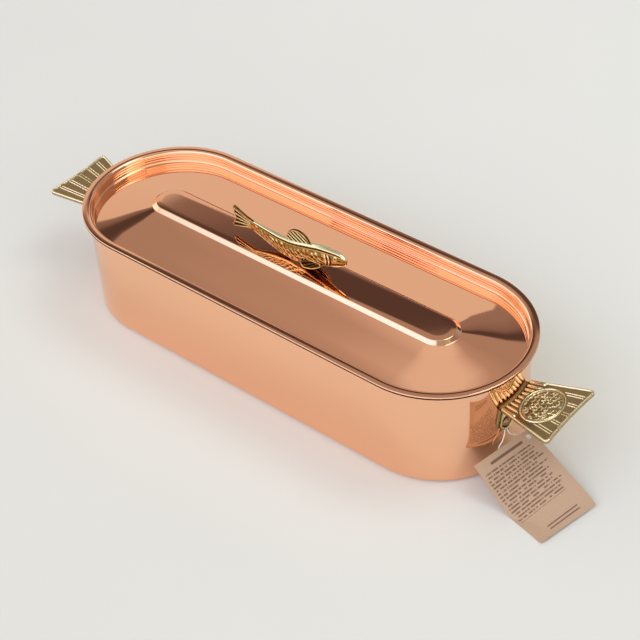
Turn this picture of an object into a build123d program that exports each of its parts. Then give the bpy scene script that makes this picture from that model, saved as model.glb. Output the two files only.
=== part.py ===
from build123d import *
import math
import os

# Oblong copper fish pot with a drop-in lid, a cast fish knob and cast tail handles.
# Millimetres. +Z up, origin at the middle of the flat base, +X towards the tagged end.

# Pot body
half_run = 134.4
wall_out = 69.9
wall_thick = 1.0
wall_in = wall_out - wall_thick
base_thick = 1.0
base_round = 4.5
pot_bead_radius = 1.3
pot_bead_flats = 6
pot_bead_out = wall_in + pot_bead_radius * math.cos(math.pi / pot_bead_flats)
pot_bead_height = 90.9
base_flats = 2

# Lid rim: an outer bead, a flange and the wall of the recess
lid_thick = 1.0
lid_bead_radius = 1.6
lid_bead_out = 73.4
lid_bead_height = 91.8
lid_top = lid_bead_height + lid_bead_radius
recess_low = 67.2
recess_high = 67.5
recess_bend = 1.5
flange_bend = 1.3
corner_flats = 1
lid_bead_flats = 6

# Lid panel: a hipped slope up to a raised oblong plateau
corner_low = 82.9
plateau_foot = 17.2
plateau_foot_height = 90.1
plateau_edge = 13.8
plateau_top = 93.0

# Tail handles, in their own frame: u out from the wall, v across, w up from the rim
tail_origin_x = 206.5
tail_rim_height = 65.0
right_rise_deg = 6.5
left_rise_deg = 8.0
tail_thick = 3.4
tail_root_u = -10.0
tail_root_half = 17.0
tail_tip_u = 46.2
tail_tip_half = 33.0
tail_dip = 1.6
tail_scallop = 0.45
tail_corner = 4.5
tail_rim_width = 1.7
tail_field_drop = 0.9
ray_count = 5
ray_gap = 1.1
ray_width = 0.55
ray_height = 0.5
ray_pitch_out = 10.3
ray_pitch_in = 8.0
ray_end_u = 43.4
rib_count = 9
rib_pitch = 3.8
rib_width = 1.8
rib_sides = 6
rib_length = 12.0
rib_tuck = 3.0

# Oval on the right handle, filled with overlapping scales
oval_u = 21.2
oval_half_u = 15.5
oval_half_v = 20.0
oval_sides = 24
oval_rim = 1.4
oval_rim_height = 0.8
bed_height = 0.25
scale_radius = 3.4
scale_sides = 6
scale_thick = 0.7
scale_tilt_deg = 10.0
scale_pitch_u = 5.6
scale_pitch_v = 6.4

# Flats round each small fastening and its bore
round_sides = 10

# Handle foot: a band on the wall with two round lobes, a rivet in each
foot_thick = 3.5
foot_out = wall_out + foot_thick
foot_top_half = 17.4
foot_top = 63.2
lobe_offset = 13.0
lobe_height = 47.5
lobe_radius = 6.9
arch_radius = 6.4
pocket_radius = 5.3
pocket_rise = 3.0
pocket_floor = wall_out + 2.3
rivet_radius = 2.0
rivet_play = 0.05
rivet_head_radius = 4.0
rivet_head_height = 1.8
dome_taper_deg = 50.0
rivet_tail_radius = 3.0
rivet_tail_height = 1.2
burr_radius = 4.2
burr_thick = 1.0
burr_rise = wall_in - math.sqrt(wall_in ** 2 - burr_radius ** 2)
burr_face = wall_in - burr_rise - burr_thick
bore_length = 20.0

# Fish knob
fish_sides = 10
seat_x = 1.0
seat_half_length = 9.2
seat_half_width = 3.8
seat_height = 8.0
screw_spread = 5.0
screw_radius = 1.95
screw_hole_radius = 2.0
screw_depth = 6.0
screw_tip_gap = 0.5
screw_head_radius = 3.5
screw_head_height = 2.4
screw_slot_width = 1.0
screw_slot_depth = 0.9
washer_radius = 4.5
washer_thick = 0.8
washer_play = 0.1
fin_thick = 1.8
dorsal_thick = 2.2
fin_ray_count = 6
fin_ray_width = 1.0
fin_ray_span = 3.0
paddle_x = 9.0
paddle_y = 4.6
paddle_z = 12.0
paddle_lean = 0.30

# Swing tag: one foot corner on the table, the card leaning up towards the wall
tag_width = 55.0
tag_length = 75.0
tag_thick = 0.5
tag_foot = Vector(269.3, -60.7, 0.5)
tag_across = Vector(12.5, 53.5, 3.4)
tag_up = Vector(-69.3, 14.7, 24.5)
tag_hole_radius = 2.1
tag_hole_u = tag_width - 5.1
tag_hole_v = tag_length - 4.9

# String: from the lobe through the card's hole and back
string_diameter = 1.0
string_sides = 4
string_bight = 2.3
corner_share = 0.45


def oblong_sweep(profile, run):
    """Carry a half section, drawn as distance out against height, round the oblong."""
    side = Plane(origin=(run, 0, 0), x_dir=(0, -1, 0), z_dir=(-1, 0, 0)) * profile
    straight = extrude(side, 2 * run)
    end = revolve(side, Axis((run, 0, 0), (0, 0, 1)), 180)
    near = straight + mirror(straight, Plane.XZ)
    return near + end + mirror(end, Plane.YZ)


def bend(x, y, radius, start_deg, end_deg, flats):
    """Points of a round bend about a centre, drawn as a few flats."""
    step = math.radians(end_deg - start_deg) / flats
    angles = [math.radians(start_deg) + step * index for index in range(flats + 1)]
    return [(x + radius * math.cos(angle), y + radius * math.sin(angle)) for angle in angles]


def bead(x, y, radius, flats):
    """Section of a rolled bead, drawn as flats with a corner at the top."""
    return make_face(Polyline(bend(x, y, radius, 90, 450, flats)[:-1], close=True))


def round_bar(radius, low, high, taper_deg=0):
    """Round bar in flats along z, between two heights."""
    return Pos(0, 0, low) * extrude(RegularPolygon(radius, round_sides), high - low, taper=taper_deg)


def corner_at(section, x, y):
    """The corners of a drawn section at one place."""
    return [v for v in section.vertices() if math.hypot(v.X - x, v.Y - y) < 0.01]


def pot_body():
    """Deep drawn oblong pot, its edge rolled outwards into a closed bead."""
    outer = bend(wall_out - base_round, base_round, base_round, -90, 0, base_flats)
    inner = bend(wall_out - base_round, base_round, base_round - wall_thick, 0, -90, base_flats)
    section = make_face(Polyline((0, 0), *outer, (wall_out, pot_bead_height), (wall_in, pot_bead_height),
                                 *inner, (0, base_thick), close=True))
    section += bead(pot_bead_out, pot_bead_height, pot_bead_radius, pot_bead_flats)
    body = oblong_sweep(section.face(), half_run)
    for side in (1, -1):
        for bore in rivet_axes(side):
            body -= bore * round_bar(rivet_radius + rivet_play, -bore_length / 2, bore_length / 2)
    return body


def lid_surface(drop, bend_in, bend_out):
    """Half section of the sheet's face: plateau, hipped slope, recess wall and flange."""
    slope = math.degrees(math.atan2(plateau_foot_height - corner_low, recess_low - plateau_foot))
    shift = drop * (recess_high - recess_low) / (lid_top - corner_low)
    low_x = recess_low + drop - bend_in
    low_y = corner_low - drop + bend_in / math.cos(math.radians(slope))
    high_x = recess_high + drop + bend_out
    high_y = lid_top - drop - bend_out + shift
    return [
        (0, plateau_top - drop), (plateau_edge, plateau_top - drop),
        (plateau_foot, plateau_foot_height - drop),
        *bend(low_x, low_y, bend_in, -90 - slope, 0, corner_flats),
        *bend(high_x, high_y, bend_out, 180, 90, corner_flats),
        (lid_bead_out, lid_top - drop),
    ]


def lid():
    """Drop-in lid of one sheet, its flange rolled under into a bead outside the pot's own."""
    upper = lid_surface(0, recess_bend, flange_bend)
    under = lid_surface(lid_thick, recess_bend + lid_thick, flange_bend - lid_thick)
    section = make_face(Polyline(*upper, *reversed(under), close=True))
    section += bead(lid_bead_out, lid_bead_height, lid_bead_radius, lid_bead_flats)
    body = oblong_sweep(section.face(), half_run)
    hole = round_bar(screw_hole_radius + washer_play, -2 * lid_thick, lid_thick)
    for x in screw_places():
        body -= Pos(x, 0, plateau_top) * hole
    return body


def screw_places():
    """Places of the two knob screws along the lid."""
    return (seat_x - screw_spread, seat_x + screw_spread)


def tail_plane(rise_deg):
    """Plane of a tail handle's top rim: u out, v across, w up."""
    rise = math.radians(rise_deg)
    return Plane(origin=(tail_origin_x, 0, tail_rim_height), x_dir=(math.cos(rise), 0, math.sin(rise)),
                 z_dir=(-math.sin(rise), 0, math.cos(rise)))


def tail_outline(inset):
    """Flared outline of the tail, its outer edge dipped in the middle and scalloped between rays."""
    flare = (tail_tip_half - tail_root_half) / (tail_tip_u - tail_root_u)
    side_shift = inset * math.hypot(1, flare)
    fields = ray_count + 1
    tips = []
    for index in range(fields + 1):
        v = (2 * index / fields - 1) * (tail_tip_half - side_shift - flare * inset)
        u = tail_tip_u - inset - tail_dip * (1 - (v / tail_tip_half) ** 2)
        tips.append((u, v))
    root = tail_root_half - side_shift
    edges = [Line((tail_root_u, root), (tail_root_u, -root)), Line((tail_root_u, -root), tips[0])]
    for start, end in zip(tips, tips[1:]):
        middle = ((start[0] + end[0]) / 2 + tail_scallop, (start[1] + end[1]) / 2)
        edges.append(ThreePointArc(start, middle, end))
    edges.append(Line(tips[-1], (tail_root_u, root)))
    outline = make_face(edges)
    corners = corner_at(outline, *tips[0]) + corner_at(outline, *tips[-1])
    return fillet(corners, tail_corner - inset)


def tail_rays():
    """Pairs of fine raised rays that fan out towards the scalloped edge."""
    rays = []
    middle = (ray_count - 1) / 2
    for index in range(ray_count):
        for side in (-ray_gap, ray_gap):
            outer = (ray_end_u, (index - middle) * ray_pitch_out + side)
            inner = (rib_length, (index - middle) * ray_pitch_in + side)
            turn = math.degrees(math.atan2(outer[1] - inner[1], outer[0] - inner[0]))
            place = Pos((outer[0] + inner[0]) / 2, (outer[1] + inner[1]) / 2, -tail_field_drop)
            rays.append(place * Rot(0, 0, turn) * Box(math.dist(outer, inner), ray_width, 2 * ray_height))
    return rays


def tail_ribs():
    """Short rounded ribs side by side next to the wall."""
    end = Plane.YZ * RegularPolygon(rib_width / 2, rib_sides)
    bar = extrude(end, rib_length / 2 + rib_tuck, both=True)
    middle = (rib_count - 1) / 2
    places = [(index - middle) * rib_pitch for index in range(rib_count)]
    return [Pos(rib_length / 2, v, -tail_field_drop) * bar for v in places]


def oval_at(inset):
    """Oval of the scaled field in short flats, drawn in from its edge."""
    angles = [2 * math.pi * index / oval_sides for index in range(oval_sides)]
    corners = [((oval_half_u - inset) * math.cos(angle), (oval_half_v - inset) * math.sin(angle))
               for angle in angles]
    return make_face(Polyline(corners, close=True))


def scale_oval():
    """Raised oval frame filled with overlapping fish scales, and the block that clears its place."""
    centre = Pos(oval_u, 0, -tail_field_drop)
    oval = oval_at(0)
    inner = oval_at(oval_rim)
    ring = centre * extrude(oval - inner, oval_rim_height)
    bed = centre * extrude(inner, bed_height)
    blank = extrude(RegularPolygon(scale_radius, scale_sides), scale_thick / 2, both=True)
    scale = Rot(0, -scale_tilt_deg, 0) * blank
    scales = []
    rows = int(oval_half_u // scale_pitch_u)
    columns = int(oval_half_v // scale_pitch_v)
    for row in range(-rows, rows + 1):
        u = row * scale_pitch_u
        room = oval_half_v * math.sqrt(1 - (u / oval_half_u) ** 2) - oval_rim - scale_radius
        shift = scale_pitch_v / 2 if row % 2 else 0.0
        for column in range(-columns, columns + 1):
            v = column * scale_pitch_v + shift
            if abs(v) < room:
                scales.append(centre * Pos(u, v, bed_height) * scale)
    clear = centre * extrude(oval, tail_thick)
    return ring + bed + scales, clear


def rivet_axes(side):
    """Frames on a handle's two rivet axes, w pointing out through the foot."""
    turn = math.asin(lobe_offset / foot_out)
    axes = []
    for angle in (-turn, turn):
        direction = (side * math.cos(angle), math.sin(angle), 0)
        origin = (side * half_run + direction[0] * wall_in, direction[1] * wall_in, lobe_height)
        axes.append(Location(Plane(origin=origin, x_dir=(0, 0, 1), z_dir=direction)))
    return axes


def handle_foot():
    """Band that follows the wall, with two lobes and an arch between them."""
    lobe_side = lobe_offset + lobe_radius
    elevation = make_face(Polyline((-foot_top_half, foot_top), (-lobe_side, lobe_height),
                                   (lobe_side, lobe_height), (foot_top_half, foot_top), close=True))
    elevation -= Pos(0, lobe_height) * Circle(arch_radius)
    for sign in (-1, 1):
        elevation += Pos(sign * lobe_offset, lobe_height) * Circle(lobe_radius)
    view = Plane(origin=(half_run, 0, 0), x_dir=(0, 1, 0), z_dir=(1, 0, 0))
    slab = extrude(view * elevation, foot_out + foot_thick)
    ring = Cylinder(foot_out, foot_top) - Cylinder(wall_out, foot_top)
    foot = slab & (Pos(half_run, 0, lobe_height) * ring)
    pocket = extrude(SlotCenterToCenter(pocket_rise, 2 * pocket_radius).face(), foot_thick)
    for bore in rivet_axes(1):
        foot -= bore * Pos(pocket_rise / 2, 0, pocket_floor - wall_in) * pocket
        foot -= bore * round_bar(rivet_radius + rivet_play, -bore_length / 2, bore_length / 2)
    return foot


def tail_handle(rise_deg, with_oval):
    """Cast fish-tail handle: flared plate with a raised rim, ribs and rays, on a riveted foot."""
    plate = extrude(tail_outline(0), -tail_thick)
    plate -= extrude(tail_outline(tail_rim_width), -tail_field_drop)
    pattern = Part() + tail_rays() + tail_ribs()
    if with_oval:
        frame, clear = scale_oval()
        pattern = pattern - clear + frame
    keep = extrude(tail_outline(tail_rim_width / 2), -tail_thick / 2, both=True)
    plate += pattern & keep
    tail = tail_plane(rise_deg).location * plate
    tail -= Pos(half_run, 0, tail_rim_height) * Cylinder(wall_out, tail_rim_height)
    return tail + handle_foot()


def handle_rivets(side):
    """Two low-headed rivets through foot, wall and burr, peened over inside."""
    head = pocket_floor - wall_in
    tail = burr_face - wall_in
    rivet = round_bar(rivet_radius, tail, head)
    rivet += round_bar(rivet_head_radius, head, head + rivet_head_height, dome_taper_deg)
    button = round_bar(rivet_tail_radius, 0, rivet_tail_height, dome_taper_deg)
    rivet += Pos(0, 0, tail) * Rot(180, 0, 0) * button
    return [axis * rivet for axis in rivet_axes(side)]


def rivet_burrs(side):
    """Two flat washers under the peened rivet tails, their rims against the curved wall."""
    ring = round_bar(burr_radius, burr_face - wall_in, -burr_rise)
    ring -= round_bar(rivet_radius + rivet_play, -bore_length / 2, bore_length / 2)
    return [axis * ring for axis in rivet_axes(side)]


def fish_section(x, middle, half_height, half_width):
    """Oval slice of the fish's body in short flats, its middle measured up from the plateau."""
    cut = Plane(origin=(x, 0, plateau_top + middle), x_dir=(0, 1, 0), z_dir=(1, 0, 0))
    angles = [2 * math.pi * (index + 0.5) / fish_sides for index in range(fish_sides)]
    corners = [(half_width * math.cos(angle), half_height * math.sin(angle)) for angle in angles]
    return cut * make_face(Polyline(corners, close=True))


def fish_body():
    """Arched body from tail root to snout, deepest behind the gills."""
    tail_root = fish_section(-47.0, 14.8, 4.0, 1.8)
    rear = [fish_section(-32.0, 12.1, 6.0, 3.2), fish_section(-16.0, 9.6, 8.4, 4.6)]
    belly = [fish_section(-2.0, 10.0, 9.8, 5.5), fish_section(12.0, 13.1, 10.6, 6.1)]
    gills = fish_section(24.0, 16.8, 9.6, 6.0)
    head = [fish_section(35.0, 19.3, 7.7, 5.1), fish_section(43.0, 20.9, 5.3, 3.8)]
    snout = fish_section(47.6, 21.2, 2.6, 2.2)
    return loft([tail_root, *rear, *belly, gills, *head, snout], ruled=True)


def fish_view():
    """Upright middle plane of the fish: x along the lid, y up from the plateau."""
    return Plane(origin=(0, 0, plateau_top), x_dir=(1, 0, 0), z_dir=(0, -1, 0))


def dorsal_fin():
    """Rounded fin on the back."""
    back = ThreePointArc((-10.4, 19.0), (0.5, 30.8), (14.0, 21.5))
    outline = make_face([back, Polyline((14.0, 21.5), (8.0, 16.0), (-10.4, 14.0), (-10.4, 19.0))])
    return extrude(fish_view() * outline, dorsal_thick / 2, both=True)


def tail_fin():
    """Forked fan of the fish's tail, with raised rays on both faces."""
    outline = make_face(Polyline((-44, 18.6), (-52, 20.8), (-64, 26.2), (-65.6, 24.4), (-62.8, 15.6),
                                 (-67.2, 6.4), (-65.6, 5.2), (-52, 9.0), (-45, 10.8), close=True))
    fin = extrude(fish_view() * outline, fin_thick / 2, both=True)
    for index in range(fin_ray_count):
        share = index / (fin_ray_count - 1)
        tip = (-64.0, 8.0 + 16.5 * share)
        root = (-47.0, 12.3 + 5.0 * share)
        turn = math.degrees(math.atan2(root[1] - tip[1], root[0] - tip[0]))
        place = fish_view().location * Pos((tip[0] + root[0]) / 2, (tip[1] + root[1]) / 2, 0)
        fin += place * Rot(0, 0, turn) * Box(math.dist(tip, root), fin_ray_width, fin_ray_span)
    return fin


def paddle_fin(sign):
    """Breast fin that starts at the gills, stands off the flank and ends just above the plateau."""
    rear = ThreePointArc((0, 0), (-1.6, -5.2), (2.4, -9.0))
    lower = ThreePointArc((2.4, -9.0), (11.5, -6.9), (19.0, -2.0))
    outline = make_face([rear, lower, Polyline((19.0, -2.0), (17.5, 1.0), (0, 0))])
    upright = math.sqrt(1 - paddle_lean ** 2)
    lean = Plane(origin=(paddle_x, sign * paddle_y, plateau_top + paddle_z), x_dir=(1, 0, 0),
                 z_dir=(0, -upright, -sign * paddle_lean))
    return lean.location * extrude(outline, fin_thick / 2, both=True)


def fish_knob():
    """Cast fish that serves as the lid's knob, seated on a pad tapped for two screws."""
    pad = extrude(SlotOverall(2 * seat_half_length, 2 * seat_half_width), seat_height)
    fish = fish_body() + dorsal_fin() + tail_fin() + Pos(seat_x, 0, plateau_top) * pad
    fish += [paddle_fin(1), paddle_fin(-1)]
    for x in screw_places():
        fish -= Pos(x, 0, plateau_top) * round_bar(screw_hole_radius, 0, screw_depth)
    return fish


def knob_screws():
    """Two slotted pan-head screws that hold the fish from under the plateau."""
    face = plateau_top - lid_thick - washer_thick
    shank = round_bar(screw_radius, face, plateau_top + screw_depth - screw_tip_gap)
    head = round_bar(screw_head_radius, face - screw_head_height, face)
    slot = Box(3 * screw_head_radius, screw_slot_width, 2 * screw_slot_depth)
    head -= Pos(0, 0, face - screw_head_height) * slot
    return [Pos(x, 0, 0) * (shank + head) for x in screw_places()]


def knob_washers():
    """Two plain washers between the screw heads and the lid."""
    under = plateau_top - lid_thick
    ring = round_bar(washer_radius, under - washer_thick, under)
    ring -= round_bar(screw_hole_radius + washer_play, under - 2 * washer_thick, under + washer_thick)
    return [Pos(x, 0, 0) * ring for x in screw_places()]


def tag_plane():
    """Plane of the card's upper face: origin at its foot corner, u along the foot, v up the card."""
    return Plane(origin=tag_foot, x_dir=tag_across, z_dir=tag_across.cross(tag_up))


def hang_tag():
    """Plain card on a string, a foot corner on the table and its head near the wall."""
    card = Pos(tag_width / 2, tag_length / 2, -tag_thick / 2) * Box(tag_width, tag_length, tag_thick)
    hole = round_bar(tag_hole_radius, -2 * tag_thick, tag_thick)
    return tag_plane().location * (card - Pos(tag_hole_u, tag_hole_v, 0) * hole)


def string_route():
    """Points from the right handle's lobe through the card's hole, back behind it and up again."""
    def by_hole(along, above):
        place = tag_plane().location * Pos(tag_hole_u + along, tag_hole_v, above)
        return place.position
    half = string_bight / 2
    return [
        Vector(205.2, -12.2, 40.5),
        Vector(206.9, -12.0, 36.0),
        Vector(207.7, -7.4, 31.0),
        Vector(208.7, -1.8, 26.6),
        Vector(212.0, 0.7, 22.4),
        by_hole(half, -2.4),
        by_hole(half, 1.7),
        by_hole(-half, 1.7),
        by_hole(-half, -2.8),
        Vector(211.0, -6.6, 20.6),
        Vector(206.2, -18.2, 19.6),
        Vector(204.3, -22.4, 25.5),
        Vector(206.0, -16.0, 33.0),
        Vector(205.2, -14.3, 40.5),
    ]


def tag_string():
    """Thin string as straight runs joined by the largest tangent arcs that its runs allow."""
    route = string_route()
    radii = []
    for before, corner, after in zip(route, route[1:], route[2:]):
        run_in, run_out = corner - before, after - corner
        half_turn = math.radians(run_in.get_angle(run_out)) / 2
        radii.append(corner_share * min(run_in.length, run_out.length) / math.tan(half_turn))
    print("string radii", [round(radius, 1) for radius in radii])
    path = FilletPolyline(*route, radius=radii)
    start = Plane(origin=route[0], z_dir=route[1] - route[0])
    section = start * RegularPolygon(string_diameter / 2, string_sides)
    tube = sweep(section, path=path)
    print("string length", round(path.length, 1), "volume", round(tube.volume, 2),
          "expected", round(section.area * path.length, 2))
    return tube


def main():
    """Build every piece and write one STEP file for each."""
    os.makedirs("parts", exist_ok=True)
    nodes = {
        "pot_body": pot_body(),
        "lid": lid(),
        "right_handle": tail_handle(right_rise_deg, True),
        "left_handle": mirror(tail_handle(left_rise_deg, False), Plane.YZ),
        "handle_rivets": Compound(children=handle_rivets(1) + handle_rivets(-1)),
        "rivet_burrs": Compound(children=rivet_burrs(1) + rivet_burrs(-1)),
        "fish_knob": fish_knob(),
        "knob_screws": Compound(children=knob_screws()),
        "knob_washers": Compound(children=knob_washers()),
        "hang_tag": hang_tag(),
        "tag_string": tag_string(),
    }
    for name, solid in nodes.items():
        export_step(solid, f"parts/{name}.step")


main()
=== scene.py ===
import cmath
import logging
import math
from collections.abc import Callable, Sequence
from dataclasses import dataclass, field
from enum import Enum
from functools import reduce

import bpy
import numpy as np
from mathutils import Matrix, Vector


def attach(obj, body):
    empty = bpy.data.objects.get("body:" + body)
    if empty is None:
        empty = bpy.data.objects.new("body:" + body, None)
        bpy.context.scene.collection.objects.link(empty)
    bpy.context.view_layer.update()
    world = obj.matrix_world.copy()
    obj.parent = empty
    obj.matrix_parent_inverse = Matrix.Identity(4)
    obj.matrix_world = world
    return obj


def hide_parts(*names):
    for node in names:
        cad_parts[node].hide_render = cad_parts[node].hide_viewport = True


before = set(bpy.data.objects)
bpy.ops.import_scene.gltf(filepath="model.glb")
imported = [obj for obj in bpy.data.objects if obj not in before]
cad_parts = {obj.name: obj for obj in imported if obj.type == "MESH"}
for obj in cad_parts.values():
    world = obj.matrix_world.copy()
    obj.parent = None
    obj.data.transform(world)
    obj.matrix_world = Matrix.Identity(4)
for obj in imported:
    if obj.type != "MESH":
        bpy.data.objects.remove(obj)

# Oblong copper fish pot: mirror-polished copper, cast brass fish and tail handles, kraft swing tag.
# Shapes are drawn in millimetres and turned to metres when a mesh is made.

MM = 0.001
HALF_RUN = 134.4  # Half of the straight run between the centres of the pot's round ends.
WALL = 69.9  # Radius of the round ends, to the outside of the wall.
GRAIN_SEED, SCALE_SEED, FLANK_SEED = 11, 23, 5

Array = np.ndarray
Tree = bpy.types.NodeTree
Socket = bpy.types.NodeSocket
Material = bpy.types.Material
Object = bpy.types.Object
Color = tuple[float, float, float, float]
Point = tuple[float, float, float]
Spot = tuple[float, float]
Profile = list[Spot]
Faces = list[tuple[int, ...]]
Inputs = dict[str | int, float | Color | Socket]
Stops = Sequence[tuple[float, Color]]
Shape = Callable[..., Array]

log = logging.getLogger("fish_pot")


class Body(Enum):
    """Bodies that pieces ride on."""

    POT = "pot"
    LID = "lid"


class Slot(Enum):
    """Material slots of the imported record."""

    COPPER = "copper"
    BRASS = "brass"
    CARD = "kraft_card"
    STRING = "string"


def linear(hex_color: str) -> Color:
    """Turn an sRGB hex colour into the linear colour that shaders take.

    Args:
        hex_color: Six hex digits, such as "E2DDD6".

    Returns:
        Linear red, green, blue and an alpha of one.
    """
    shares = [int(hex_color[index:index + 2], 16) / 255 for index in (0, 2, 4)]
    red, green, blue = (s / 12.92 if s <= 0.04045 else ((s + 0.055) / 1.055) ** 2.4 for s in shares)
    return red, green, blue, 1.0


def tinted(red: float, green: float = 1.0, blue: float = 1.0) -> Color:
    """Linear colour given as its red and the shares of it that green and blue have."""
    return red, red * green, red * blue, 1.0


def per_mm(size_mm: float) -> float:
    """Texture scale that makes one grain of a pattern this many millimetres wide."""
    return 1 / (size_mm * MM)


def connect(tree: Tree, node: bpy.types.Node, inputs: Inputs) -> None:
    """Fill a node's inputs: an output socket is linked, any other value is set.

    Args:
        tree: Node tree that holds the node.
        node: Node that takes the inputs.
        inputs: Sockets and values by the input's name or index.
    """
    for name, value in inputs.items():
        if isinstance(value, Socket):
            tree.links.new(value, node.inputs[name])
        else:
            node.inputs[name].default_value = value


def add_node(tree: Tree, kind: str, inputs: Inputs | None = None, stops: Stops = (),
             **settings: str) -> bpy.types.NodeOutputs:
    """Add one shader node with its settings, values, links and colour stops.

    Args:
        tree: Node tree that gets the node.
        kind: Blender's node type name after "ShaderNode".
        inputs: Sockets and values by the input's name or index.
        stops: Places from 0 to 1 with their colours, for a node that has a colour ramp.
        settings: Attributes of the node by name.

    Returns:
        The new node's outputs.
    """
    node = tree.nodes.new(f"ShaderNode{kind}")
    for name, value in settings.items():
        setattr(node, name, value)
    connect(tree, node, inputs or {})
    for index, (place, color) in enumerate(stops):
        elements = node.color_ramp.elements
        element = elements[index] if index < len(elements) else elements.new(place)
        element.position, element.color = place, color
    return node.outputs


@dataclass(frozen=True)
class Finish:
    """One surface finish, made into a Blender material once."""

    name: str

    def inputs(self, tree: Tree, place: Socket) -> Inputs:
        """What the material's shader takes; each finish says its own."""
        raise NotImplementedError

    def build(self) -> Material:
        """Make the material.

        Returns:
            The finished material.
        """
        material = bpy.data.materials.new(self.name)
        material.use_nodes = True
        tree = material.node_tree
        place = add_node(tree, "TexCoord")["Object"]
        connect(tree, tree.nodes["Principled BSDF"], self.inputs(tree, place))
        return material


@dataclass(frozen=True)
class PolishedCopper(Finish):
    """Buffed copper sheet: the eye reads its warm mirror, soft hammer waves and faint wipe marks."""

    color: str = "FCC49E"
    rough: float = 0.035
    wave_mm: float = 45.0
    wave_height_mm: float = 0.006
    wipe_mm: float = 1.1111  # Real wipe marks are near 0.2 mm; drawn coarser so that they show.

    def inputs(self, tree: Tree, place: Socket) -> Inputs:
        """Hammer waves as bump and wipe marks as roughness.

        Args:
            tree: Node tree of the material.
            place: Place on the object.

        Returns:
            What the shader takes.
        """
        waves = add_node(tree, "TexNoise", {"Vector": place, "Scale": per_mm(self.wave_mm), "Detail": 1.0})
        wipes = add_node(tree, "TexNoise", {"Vector": place, "Scale": per_mm(self.wipe_mm), "Detail": 4.0})
        rough = add_node(tree, "MapRange", {"Value": wipes["Fac"], "From Min": 0.3, "From Max": 0.7,
                                            "To Min": self.rough * 0.7, "To Max": self.rough * 1.5})
        bump = add_node(tree, "Bump", {"Height": waves["Fac"], "Strength": 1.0,
                                       "Distance": self.wave_height_mm * MM})
        return {"Base Color": linear(self.color), "Metallic": 1.0, "Roughness": rough["Result"],
                "Normal": bump["Normal"]}


@dataclass(frozen=True)
class CastBrass(Finish):
    """Cast brass, rubbed bright on the high places and matt and olive in the hollows. The relief it reads
    also carries painted shade and painted highlights where a casting sets them.
    """

    high: str = "FFF2C4"
    middle: str = "B09D70"
    low: str = "8A7A4E"
    hollow: str = "2C2110"
    rough: float = 0.22
    grain_mm: float = 0.9  # The casting sand's grain is near 0.2 mm; drawn coarser so that it shows.
    grain_share: float = 0.35
    grain_height_mm: float = 0.12

    def inputs(self, tree: Tree, place: Socket) -> Inputs:
        """Colour and roughness by height of the relief, with the sand's grain over both.

        Args:
            tree: Node tree of the material.
            place: Place on the object.

        Returns:
            What the shader takes.
        """
        relief = add_node(tree, "Attribute", attribute_name="relief")["Fac"]
        noise = {"Vector": place, "Scale": per_mm(self.grain_mm), "Detail": 3.0}
        grain = add_node(tree, "TexNoise", noise)["Fac"]
        mixed = add_node(tree, "Math", {0: grain, 1: self.grain_share, 2: relief},
                         operation="MULTIPLY_ADD")[0]
        stops = zip((0.20, 0.38, 0.6, 0.9), map(linear, (self.hollow, self.low, self.middle, self.high)))
        color = add_node(tree, "ValToRGB", {"Fac": mixed}, tuple(stops))
        rough = add_node(tree, "MapRange", {"Value": mixed, "From Min": 0.2, "From Max": 0.9,
                                            "To Min": self.rough * 1.9, "To Max": self.rough})
        bump = add_node(tree, "Bump", {"Height": grain, "Strength": 0.5,
                                       "Distance": self.grain_height_mm * MM})
        return {"Base Color": color["Color"], "Metallic": 1.0, "Roughness": rough["Result"],
                "Normal": bump["Normal"]}


@dataclass(frozen=True)
class Mottled(Finish):
    """Surface mottled between two close tints by one texture."""

    kind: str = "TexNoise"
    settings: tuple[tuple[str, str], ...] = ()
    grain_mm: float = 1.4286
    detail: float = 4.0
    distortion: float = 0.0
    tints: tuple[str, str] = ("8C6A4E", "C9A07C")
    spread: Spot = (0.35, 0.65)
    metallic: float = 1.0
    rough: float = 0.3
    sheen: float = 0.0

    def inputs(self, tree: Tree, place: Socket) -> Inputs:
        """Texture turned into the two tints.

        Args:
            tree: Node tree of the material.
            place: Place on the object.

        Returns:
            What the shader takes.
        """
        texture = {"Vector": place, "Scale": per_mm(self.grain_mm), "Detail": self.detail,
                   "Distortion": self.distortion}
        spots = add_node(tree, self.kind, texture, **dict(self.settings))
        stops = tuple(zip(self.spread, map(linear, self.tints)))
        color = add_node(tree, "ValToRGB", {"Fac": spots["Fac"]}, stops)
        return {"Base Color": color["Color"], "Metallic": self.metallic, "Roughness": self.rough,
                "Sheen Weight": self.sheen}


@dataclass(frozen=True)
class TarnishAndShadeMetal(Mottled):
    """Small turned copper or steel: a plain tint with fine specks of tarnish. With dark tints it is also the
    painted shade under the lid's bead.

    Real specks are near 0.3 mm. They are drawn at the 1.4 mm of the base class, so that they show.
    """


@dataclass(frozen=True)
class TinLining(Mottled):
    """Hand-wiped tin inside pot and lid: matt silver with soft streaks as wide as a wiping finger."""

    grain_mm: float = 16.6667
    detail: float = 5.0
    distortion: float = 1.5
    tints: tuple[str, str] = ("B4B3AF", "CFCDC7")
    spread: Spot = (0.3, 0.7)
    rough: float = 0.34


@dataclass(frozen=True)
class CottonString(Mottled):
    """Thin waxed cotton: off-white with a fine slanting twist, 1.5 mm from strand to strand."""

    kind: str = "TexWave"
    settings: tuple[tuple[str, str], ...] = (("bands_direction", "DIAGONAL"),)
    grain_mm: float = 2.38095  # A wave texture draws 10 / 2 pi bands in each of its units.
    detail: float = 2.0
    distortion: float = 1.0
    tints: tuple[str, str] = ("D2CBB8", "F7F4EC")
    spread: Spot = (0.2, 0.8)
    metallic: float = 0.0
    rough: float = 0.7
    sheen: float = 0.3


@dataclass(frozen=True)
class PaperSweep(Mottled):
    """Matt background paper under the pot: pale, with barely seen clouds a hand's length wide."""

    grain_mm: float = 333.333
    detail: float = 2.0
    tints: tuple[str, str] = ("E8ECE2", "E5EAE0")
    spread: Spot = (0.3, 0.7)
    metallic: float = 0.0
    rough: float = 0.9


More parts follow.
